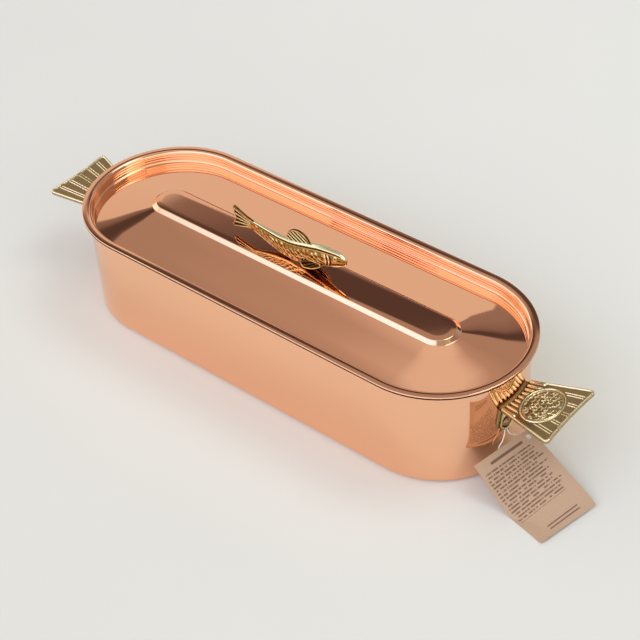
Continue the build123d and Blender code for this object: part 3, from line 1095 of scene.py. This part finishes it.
@dataclass
class FishKnob:
    """Cast fish on the plateau: body, fins, gills, mouth and a seat."""

    brass: Material
    plateau: float = 93.0
    # Along the fish: the place, its middle line's height over the plateau, half height and half width.
    x_of: tuple[float, ...] = (-47.0, -38.0, -28.0, -15.0, -2.0, 12.0, 24.0, 35.0, 43.0, 47.6)
    middle_of: tuple[float, ...] = (14.8, 13.1, 11.3, 9.7, 10.1, 13.2, 16.7, 19.3, 20.9, 21.2)
    height_of: tuple[float, ...] = (4.0, 5.3, 6.6, 8.0, 9.3, 10.1, 9.6, 8.0, 6.0, 3.7)
    width_of: tuple[float, ...] = (1.8, 2.6, 3.6, 4.7, 5.5, 6.1, 6.0, 5.1, 3.8, 2.2)
    skin_step: float = 0.4
    turn_step_deg: float = 3.0
    snout_round: float = 1.4
    snout_steps: int = 8
    boxy: float = 0.55
    # Places on the skin are given along the fish, and in degrees from its back.
    carved: Spot = (-46.0, 46.0)
    shoulder_deg: float = 33.0
    flank_drop: float = 0.45
    belly_deg: float = 148.0
    gills_at: float = 33.5
    gills_bow: float = 3.5
    gills_deg: Spot = (95.0, 55.0)
    gill_gap: float = 2.9
    gill_swell: float = 1.3
    cheek_deg: Spot = (52.0, 150.0)
    mouth_at: Spot = (47.0, 118.0)
    mouth_slant: float = 1.2
    mouth_from: float = 35.5
    jaw_deg: float = 22.0
    eye_at: Spot = (40.4, 70.0)
    eye_radius: float = 1.1
    eye_mm_per_deg: float = 0.075
    dash_rows_deg: tuple[float, ...] = (64.0, 84.0, 104.0, 124.0)
    dash_pitch: float = 4.6
    dash_reach: Spot = (-40.0, 31.0)
    dash_size: Spot = (0.15, 0.6)
    dash_half: Spot = (1.35, 6.5)
    dash_slant: float = 3.0
    seat: Point = (1.0, 9.2, 3.8)
    seat_height: float = 8.0
    fin_cell: float = 0.32
    fin_round: float = 0.7
    fin_thick: float = 1.8
    dorsal_thick: float = 2.2
    # The rays of tail and breast fins fan out from a point beyond their roots.
    tail_root: Spot = (-40.0, 14.8)
    tail_ray_slope: float = 0.18
    dorsal_slant: float = 0.63
    dorsal_pitch: float = 3.9
    paddle_fan: Spot = (24.0, 6.0)
    paddle_pitch_deg: float = 7.0
    paddle_at: Point = (9.0, 4.6, 12.0)
    paddle_lean: float = 0.3

    def flank(self, x: Array, theta: Array) -> tuple[Array, Array]:
        """Relief of the skin by place along the body and angle from the back.

        Args:
            x: Place along the fish.
            theta: Angle from the back in degrees, up to 180 at the belly.

        Returns:
            Height over the plain skin, and how bright the skin is drawn: rubbed bright on its high places,
            with a painted highlight along the back and painted shade under the belly.
        """
        on_body = unit((x - self.carved[0]) / 4.0) * unit((self.carved[1] - x) / 3.0)
        below = 1 / (1 + np.exp(-(theta - self.shoulder_deg) / 1.6))
        line = on_body * groove(theta - self.shoulder_deg - 3.0, 3.4)
        detail = self.dashes(x, theta)
        gills = self.gills_at - self.gills_bow * ((theta - self.gills_deg[0]) / self.gills_deg[1]) ** 2
        on_cheek = unit((theta - self.cheek_deg[0]) / 10.0) * unit((self.cheek_deg[1] - theta) / 10.0)
        for shift in (0.0, self.gill_gap):
            detail -= 0.5 * on_cheek * groove(x - gills - shift, 0.6)
            detail += 0.5 * on_cheek * groove(x - gills - shift + self.gill_swell, 0.7)
        mouth = self.mouth_at[1] + self.mouth_slant * (self.mouth_at[0] - x)
        near_mouth = unit((x - self.mouth_from) / 2.5)
        detail -= 0.6 * near_mouth * groove(theta - mouth, 8.0)
        detail += 0.5 * near_mouth * groove(theta - mouth - self.jaw_deg, 12.0)
        eye = np.hypot(x - self.eye_at[0], (theta - self.eye_at[1]) * self.eye_mm_per_deg)
        detail += 0.35 * groove(eye - self.eye_radius, 0.45) - 0.35 * groove(eye, 0.55)
        belly = on_body * groove(theta - self.belly_deg, 9.0)
        height = -self.flank_drop * on_body * below - 0.5 * line + detail + 0.4 * belly
        # The back is drawn brighter: partly rubbed wear, partly a painted highlight where its top faces the
        # light.
        shade = 0.36 + detail + 0.36 * (1 - below) - 0.7 * line + 0.5 * belly
        # Past the belly the skin is drawn darker: painted shade on the underside.
        return height, shade - 0.25 * unit((theta - self.belly_deg - 8.0) / 12.0)

    def dashes(self, x: Array, theta: Array) -> Array:
        """Lumps and pits scattered along the flank.

        Args:
            x: Place along the fish.
            theta: Angle from the back in degrees.

        Returns:
            Height over the plain skin.
        """
        rng = np.random.default_rng(FLANK_SEED)
        height = np.zeros_like(x)
        start, end = self.dash_reach
        for row, angle in enumerate(self.dash_rows_deg):
            for place in np.arange(start + self.dash_pitch / 2 * (row % 2), end, self.dash_pitch):
                at, line = place + rng.normal(0, 0.8), angle + rng.normal(0, 4.0)
                size = rng.uniform(*self.dash_size)
                along = (x - at) / self.dash_half[0]
                across = (theta - line - self.dash_slant * (x - at)) / self.dash_half[1]
                lump, pit = (np.exp(-along ** 2 - (across - away) ** 2) for away in (0.0, 1.7))
                height += size * (lump - 0.9 * pit)
        return height

    def body(self, piece: MeshPiece) -> None:
        """Add the fish's body.

        Args:
            piece: Casting that gets it.
        """
        snout = self.x_of[-1]
        turn = np.linspace(0, math.pi / 2, self.snout_steps, endpoint=False)
        x = np.concatenate([np.arange(self.x_of[0], snout, self.skin_step),
                            snout + self.snout_round * np.sin(turn)])
        angle = np.radians(np.arange(0, 360, self.turn_step_deg))
        closing = np.sqrt(unit(1 - (np.maximum(x - snout, 0) / self.snout_round) ** 2))
        middle, tall, wide = (smooth_through(np.minimum(x, snout), self.x_of, values)
                              for values in (self.middle_of, self.height_of, self.width_of))
        xx, aa = np.meshgrid(x, angle, indexing="ij")
        theta = np.degrees(np.minimum(aa, 2 * math.pi - aa))
        rise, shade = self.flank(xx, theta)
        rise = rise * closing[:, None]
        flat = unit((theta - 90.0) / 40.0) * unit((38.0 - xx) / 20.0) * (1 - self.boxy)
        side = np.sign(np.sin(aa)) * np.abs(np.sin(aa)) ** (1 - flat)
        y = ((wide * closing)[:, None] + rise) * side
        z = ((tall * closing)[:, None] + rise) * np.cos(aa) + middle[:, None] + self.plateau
        count, last, nose = len(angle), xx.size - len(angle), xx.size
        ring = [(j, (j + 1) % count) for j in range(count)]
        points = np.vstack([np.c_[xx.ravel(), y.ravel(), z.ravel()],
                            [[snout + self.snout_round, 0, middle[-1] + self.plateau],
                             [x[0], 0, middle[0] + self.plateau]]])
        faces = [(i + a, i + b, i + count + b, i + count + a)
                 for i in range(0, last, count) for a, b in ring]
        faces += [(last + a, last + b, nose) for a, b in ring] + [(b, a, nose + 1) for a, b in ring]
        piece.add(points, faces, np.append(unit(shade).ravel(), [0.5, 0.5]))

    def fin(self, piece: MeshPiece, outline: Profile, thick: float, rays: Shape, place: Shape,
            rubbed: float = 0.30) -> None:
        """Add a thin fin with rays on both faces.

        Args:
            piece: Casting that gets it.
            outline: Corners of its outline.
            thick: Thickness between the rays.
            rays: Height of the rays at each place.
            place: Map from the fin's own plane into place.
            rubbed: How bright its plain skin is rubbed.
        """
        xs, ys = zip(*outline)

        def half(x: Array, y: Array, depth: Array) -> Array:
            """Half of the fin's thickness, with rays that stop at a raised border."""
            border = rays(x, y) * unit(depth / 1.2 - 0.4) + 0.35 * groove(depth - 0.7, 0.45)
            return thick / 2 + border - rounded_edge(depth, self.fin_round)

        relief = Relief((min(xs) - 0.5, min(ys) - 0.5), (max(xs) + 0.5, max(ys) + 0.5), self.fin_cell,
                        lambda x, y: polygon_depth(x, y, outline), half, lambda x, y, d: -half(x, y, d),
                        place, rubbed, 1.1)
        piece.add(*relief.patch())

    def upright(self, x: Array, y: Array, w: Array) -> Array:
        """Places of points in the fish's upright middle plane, given along, up and to the near side."""
        return np.c_[x, -w, y + self.plateau]

    def tail_rays(self, x: Array, y: Array) -> Array:
        """Height of the rays that fan out over the tail fin."""
        out = np.maximum(self.tail_root[0] - x, 2.0)
        off_ray = from_lines((y - self.tail_root[1]) / out, self.tail_ray_slope) * out
        return (0.9 * groove(off_ray, 0.85) - 0.35) * unit((-44.0 - x) / 3.0)

    def dorsal_rays(self, x: Array, y: Array) -> Array:
        """Height of the slanting ridges on the fin of the back."""
        off_ridge = from_lines(self.dorsal_slant * x + y - 20.0, self.dorsal_pitch, 0.0)
        return 0.9 * groove(off_ridge, 1.05) - 0.35

    def paddle_rays(self, x: Array, y: Array) -> Array:
        """Height of the fine lines that fan over a breast fin."""
        turn = np.degrees(np.arctan2(x - self.paddle_fan[0], -(y - self.paddle_fan[1])))
        return 0.3 * groove(from_lines(turn, self.paddle_pitch_deg, 0.0), 1.6) - 0.3

    def paddle_place(self, sign: int) -> Shape:
        """Map of a breast fin's plane into place.

        Args:
            sign: Side of the fish, 1 or -1.

        Returns:
            The map.
        """
        normal = np.array([0, -math.sqrt(1 - self.paddle_lean ** 2), -sign * self.paddle_lean])
        along = np.array([1.0, 0, 0])
        down = np.cross(normal, along)
        origin = np.array([self.paddle_at[0], sign * self.paddle_at[1], self.plateau + self.paddle_at[2]])
        return lambda x, y, w: origin + np.outer(x, along) + np.outer(y, down) + np.outer(w, normal)

    def build(self) -> None:
        """Make the fish."""
        piece = MeshPiece("fish_casting")
        self.body(piece)
        dorsal = [*arc_through((-10.4, 19.0), (0.5, 30.8), (14.0, 21.5)), (14.0, 21.5), (8.0, 16.0),
                  (-10.4, 14.0)]
        self.fin(piece, dorsal, self.dorsal_thick, self.dorsal_rays, self.upright)
        fan = [(-44.0, 18.6), (-52.0, 20.8), (-64.0, 26.2), (-65.6, 24.4), (-62.8, 15.6),
               (-67.2, 6.4), (-65.6, 5.2), (-52.0, 9.0), (-45.0, 10.8)]
        self.fin(piece, fan, self.fin_thick, self.tail_rays, self.upright)
        paddle = [*arc_through((0.0, 0.0), (-1.6, -5.2), (2.4, -9.0)),
                  *arc_through((2.4, -9.0), (11.5, -6.9), (19.0, -2.0)), (19.0, -2.0), (17.5, 1.0)]
        for sign in (1, -1):
            self.fin(piece, paddle, self.fin_thick, self.paddle_rays, self.paddle_place(sign), 0.12)
        centre, half_long, half_wide = self.seat
        pad = Relief((centre - half_long - 0.5, -half_wide - 0.5),
                     (centre + half_long + 0.5, half_wide + 0.5), 0.4,
                     lambda x, y: (1 - np.hypot((x - centre) / half_long, y / half_wide)) * half_wide,
                     lambda x, y, d: self.plateau + self.seat_height - rounded_edge(d, 1.5),
                     lambda x, y, d: np.full_like(x, self.plateau), lambda x, y, w: np.c_[x, y, w])
        points, faces, _ = pad.patch()
        # The seat hides under the fish and is drawn dark: painted shade under the body.
        piece.add(points, faces, np.full(len(points), 0.1))
        piece.make([self.brass], Body.LID, Slot.BRASS, "fish_knob", 60.0)


@dataclass
class SwingTag:
    """Kraft card that curls a little, with its string through a punched hole."""

    paper: Material
    cotton: Material
    width: float = 55.0
    length: float = 75.0
    thick: float = 0.5
    foot: Point = (269.3, -60.7, 0.5)
    across: Point = (12.5, 53.5, 3.4)
    up: Point = (-69.3, 14.7, 24.5)
    corner: float = 0.8
    hole_radius: float = 2.1
    hole_side: float = 5.1
    hole_top: float = 4.9
    sag: float = 10.2
    foot_curl: float = 1.6
    cell: float = 0.5
    hover: float = 0.06
    string_diameter: float = 1.0
    bight: float = 2.3

    def frame(self) -> tuple[Array, Array, Array, Array]:
        """Corner and unit directions of the flat card.

        Returns:
            Foot corner, direction across, direction up the card and normal.
        """
        across = np.array(self.across) / np.linalg.norm(self.across)
        normal = np.cross(self.across, self.up)
        normal /= np.linalg.norm(normal)
        return np.array(self.foot), across, np.cross(normal, across), normal

    def lift(self, u: Array, v: Array) -> Array:
        """How far the curled card stands off its flat plane.

        Args:
            u: Distance across.
            v: Distance up the card.

        Returns:
            The lift along the normal.
        """
        share, side = v / self.length, 1 - u / self.width
        belly = share * unit(1 - share) ** 1.5 / 0.186  # 0.186 is its peak, so the belly peaks at 1.
        curl = self.foot_curl * unit(1 - share * 3) ** 2 * (side * 2.0 - 1.0)
        return curl - self.sag * belly * unit(side) ** 1.4

    def place(self, u: Array, v: Array, w: Array) -> Array:
        """Put card points in place, none of them under the table.

        Args:
            u: Distance across.
            v: Distance up the card.
            w: Height over the card's upper face.

        Returns:
            The places, one row each.
        """
        foot, across, up, normal = self.frame()
        points = foot + np.outer(u, across) + np.outer(v, up) + np.outer(w + self.lift(u, v), normal)
        points[:, 2] = np.maximum(points[:, 2], self.hover + np.maximum(w + self.thick, 0) * 0.9)
        return points

    def card_depth(self, u: Array, v: Array) -> Array:
        """Distance inside the card's outline and outside its hole.

        Args:
            u: Distance across.
            v: Distance up the card.

        Returns:
            The distance, negative outside.
        """
        side = np.abs(u - self.width / 2) - self.width / 2 + self.corner
        end = np.abs(v - self.length / 2) - self.length / 2 + self.corner
        past = np.hypot(np.maximum(side, 0), np.maximum(end, 0)) + np.minimum(np.maximum(side, end), 0)
        hole = np.hypot(u - self.width + self.hole_side, v - self.length + self.hole_top)
        return np.minimum(self.corner - past, hole - self.hole_radius)

    def card(self) -> None:
        """Make the card, with each point's place on it for the bars."""
        relief = Relief((-1.0, -1.0), (self.width + 1, self.length + 1), self.cell, self.card_depth,
                        lambda u, v, d: np.zeros_like(u), lambda u, v, d: np.full_like(u, -self.thick),
                        self.place)
        points, faces, _ = relief.patch()
        piece = MeshPiece("tag_card")
        piece.add(points, faces)
        made = piece.make([self.paper], Body.POT, Slot.CARD, "hang_tag", 40.0)
        foot, across, up, _ = self.frame()
        flat = points - foot
        places = np.c_[flat @ across, flat @ up, np.zeros(len(flat))].astype(np.float32)
        attribute = made.data.attributes.new("card", "FLOAT_VECTOR", "POINT")
        attribute.data.foreach_set("vector", places.ravel())

    def route(self) -> list[Array]:
        """Points of the string from the handle's lobe through the hole and back.

        Returns:
            The points in millimetres.
        """
        foot, across, up, normal = self.frame()
        hole = foot + (self.width - self.hole_side) * across + (self.length - self.hole_top) * up
        half = self.bight / 2
        through = [hole + along * across + above * normal
                   for along, above in ((half, -2.4), (half, 1.7), (-half, 1.7), (-half, -2.8))]
        down = [(205.2, -12.2, 40.5), (206.9, -12.0, 36.0), (207.7, -7.4, 31.0), (208.7, -1.8, 26.6),
                (212.0, 0.7, 22.4)]
        back = [(211.0, -6.6, 20.6), (206.2, -18.2, 19.6), (204.3, -22.4, 25.5), (206.0, -16.0, 33.0),
                (205.2, -14.3, 40.5)]
        return [np.array(point) for point in (*down, *through, *back)]

    def string(self) -> None:
        route = self.route()
        data = bpy.data.curves.new("tag_string_cord", "CURVE")
        data.dimensions = "3D"
        data.bevel_depth = self.string_diameter / 2 * MM
        data.bevel_resolution = 4
        data.resolution_u = 10
        spline = data.splines.new("NURBS")
        spline.points.add(len(route) - 1)
        for point, at in zip(spline.points, route):
            point.co = (*(at * MM), 1.0)
        spline.order_u = 3
        spline.use_endpoint_u = True
        data.use_fill_caps = True
        data.materials.append(self.cotton)
        cord = show(data)
        declare(cord, Body.POT, "tag_string")

    def build(self) -> None:
        """Make card and string."""
        self.card()
        self.string()


@dataclass
class SmallMetal:
    """Rivets, burrs, screws and washers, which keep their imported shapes."""

    nodes: tuple[str, ...]
    metal: Material

    def build(self) -> None:
        """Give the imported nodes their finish."""
        for node in self.nodes:
            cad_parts[node].data.materials.clear()
            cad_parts[node].data.materials.append(self.metal)


@dataclass
class PhotoCamera:
    """Camera at the photograph's angle, a little rolled."""

    azimuth_deg: float = 41.78
    elevation_deg: float = 41.40
    roll_deg: float = -3.94
    distance: float = 1304.3
    target: Point = (19.98, -2.17, 42.86)
    lens: float = 92.4
    sensor: float = 36.0

    def build(self) -> None:
        """Make the camera and use it."""
        data = bpy.data.cameras.new("photo_camera")
        data.lens = self.lens
        data.sensor_width = self.sensor
        camera = show(data)
        place = Matrix.Translation(Vector(self.target) * MM)
        for turn, axis in ((self.azimuth_deg, "Z"), (90 - self.elevation_deg, "X"), (self.roll_deg, "Z")):
            place = place @ Matrix.Rotation(math.radians(turn), 4, axis)
        camera.matrix_world = place @ Matrix.Translation((0.0, 0.0, self.distance * MM))
        bpy.context.scene.camera = camera


@dataclass
class Studio:
    """Pale sweep, one big soft lamp overhead and a soft sky of light round about."""

    sweep: Material
    floor_half: float = 3000.0
    floor_drop: float = 0.2
    lamp_side: float = 900.0
    lamp_at: Point = (700.0, 700.0, 1900.0)
    lamp_power: float = 8.5
    lamp_color: str = "F4F8FF"
    backdrop: str = "E2E0DB"

    def sky(self) -> None:
        """Set the light round about: warm walls, a dark ceiling strip behind and a bright front."""
        world = bpy.data.worlds.new("studio_light")
        world.use_nodes = True
        bpy.context.scene.world = world
        tree = world.node_tree
        direction = add_node(tree, "TexCoord")["Generated"]
        x, y, z = add_node(tree, "SeparateXYZ", {"Vector": direction})
        left, right, upper = (add_node(tree, "Math", {0: x, 1: share, 2: z}, operation="MULTIPLY_ADD")[0]
                              for share in (-0.13, 0.44, 0.086))
        leveled = add_node(tree, "Math", {0: left, 1: 0.343}, operation="SUBTRACT")[0]
        lower = add_node(tree, "Math", {0: right, 1: leveled}, operation="MAXIMUM")[0]
        # Each zone's edges, where it fades in, and its light: height from level at 0 to straight up at 1,
        # red, and green and blue as shares of red.
        zones = (
            ("walls", (), (
                (0.20, 0.05), (0.27, 0.76, 0.89, 0.80), (0.60, 0.74, 0.88, 0.79), (0.645, 0.42, 0.80, 0.73),
                (0.74, 0.41, 0.80, 0.73), (0.80, 0.49, 0.80, 0.72), (0.85, 0.76, 0.90, 0.84),
                (1.0, 0.84, 0.91, 0.85))),
            ("strip", ((lower, 0.328, 0.341), (upper, 0.640, 0.628), (x, 0.0, -0.14)), (
                (0.55, 0.31, 0.77, 0.70), (0.605, 0.24, 0.72, 0.66), (0.63, 0.09, 0.70, 0.66),
                (0.67, 0.09, 0.70, 0.64), (0.70, 0.20, 0.75, 0.68))),
            ("right", ((x, 0.06, 0.20),), (
                (0.05, 0.10), (0.25, 0.45), (0.60, 0.30, 0.85, 0.76), (0.80, 0.38, 0.88, 0.80),
                (0.95, 0.90))),
            ("front", ((y, 0.30, 0.20),), (
                (0.03, 0.05), (0.09, 0.90), (0.22, 1.50), (0.50, 1.40), (0.62, 0.84),
                (0.74, 0.62, 0.97, 0.76), (0.84, 0.44, 0.97, 0.76), (1.0, 0.60))),
            ("window", ((y, -0.42, -0.52), (z, 0.42, 0.54)), (
                (0.0, 1.9, 0.88, 1.15), (1.0, 1.9, 0.88, 1.15))))
        color = None
        for name, edges, light in zones:
            stops = tuple((height, tinted(*tint)) for height, *tint in light)
            zone = add_node(tree, "ValToRGB", {"Fac": z}, stops, name=name)["Color"]
            steps = [add_node(tree, "MapRange", {"Value": source, "From Min": start, "From Max": end},
                              interpolation_type="SMOOTHSTEP")["Result"] for source, start, end in edges]
            if steps:
                mask = reduce(lambda a, b: add_node(tree, "Math", {0: a, 1: b}, operation="MULTIPLY")[0],
                              steps)
                zone = add_node(tree, "Mix", {0: mask, 6: color, 7: zone}, data_type="RGBA")[2]
            color = zone
        seen = add_node(tree, "LightPath")["Is Camera Ray"]
        shown = add_node(tree, "Mix", {0: seen, 6: color, 7: linear(self.backdrop)}, data_type="RGBA")[2]
        connect(tree, tree.nodes["Background"], {"Color": shown})

    def lamp(self) -> None:
        """Hang the soft lamp."""
        data = bpy.data.lights.new("overhead_softbox", "AREA")
        data.shape = "SQUARE"
        data.size = self.lamp_side * MM
        data.energy = self.lamp_power
        data.color = linear(self.lamp_color)[:3]
        lamp = show(data)
        lamp.location = Vector(self.lamp_at) * MM
        lamp.rotation_mode = "QUATERNION"
        lamp.rotation_quaternion = (-lamp.location).to_track_quat("-Z", "Y")

    def floor(self) -> None:
        """Lay the pale sweep."""
        half, low = self.floor_half * MM, -self.floor_drop * MM
        corners = [(-half, -half, low), (half, -half, low), (half, half, low), (-half, half, low)]
        mesh = bpy.data.meshes.new("sweep")
        mesh.from_pydata(corners, [], [(0, 1, 2, 3)])
        mesh.materials.append(self.sweep)
        show(mesh)

    def build(self) -> None:
        """Set up the stage."""
        self.sky()
        self.lamp()
        self.floor()
        bpy.context.scene.view_settings.view_transform = "Standard"


def main() -> None:
    """Build the stage and the camera, then each piece of the pot."""
    logging.basicConfig(level=logging.INFO, format="%(message)s")
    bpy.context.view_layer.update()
    copper = PolishedCopper("mirror_polished_copper").build()
    tin = TinLining("wiped_tin_lining").build()
    # Under the bead the copper is painted dark: painted shade for the thin shadow line round the lid.
    bead_shade = TarnishAndShadeMetal("painted_shade_under_bead", tints=("180E0A", "33201A"), rough=0.45).build()
    rivet_copper = TarnishAndShadeMetal("tarnished_copper_rivets").build()
    steel = TarnishAndShadeMetal("bright_steel", tints=("A2A2A0", "C8C8C6"), rough=0.25).build()
    brass = CastBrass("cast_brass_handles").build()
    # The fish is the grip, so it is rubbed glossier than the handles and its hollows are browner.
    fish_brass = CastBrass("cast_brass_fish", "EDEBC4", "C09854", "7A5226", "22120A", 0.13).build()
    card = KraftCard("uncoated_kraft_card").build()
    cotton = CottonString("waxed_cotton_string").build()
    pieces = {
        "camera": PhotoCamera(),
        "studio": Studio(PaperSweep("matt_paper_sweep").build()),
        "pot": PotBody(copper, tin),
        "lid": Lid(copper, tin, bead_shade),
        "right handle": TailHandle(1, 6.5, True, brass),
        "left handle": TailHandle(-1, 8.0, False, brass),
        "fish": FishKnob(fish_brass),
        "tag and string": SwingTag(card, cotton),
        "rivets and burrs": SmallMetal(("handle_rivets", "rivet_burrs"), rivet_copper),
        "screws and washers": SmallMetal(("knob_screws", "knob_washers"), steel),
    }
    for name, piece in pieces.items():
        piece.build()
        log.info("made %s", name)


if __name__ == "__main__":
    main()
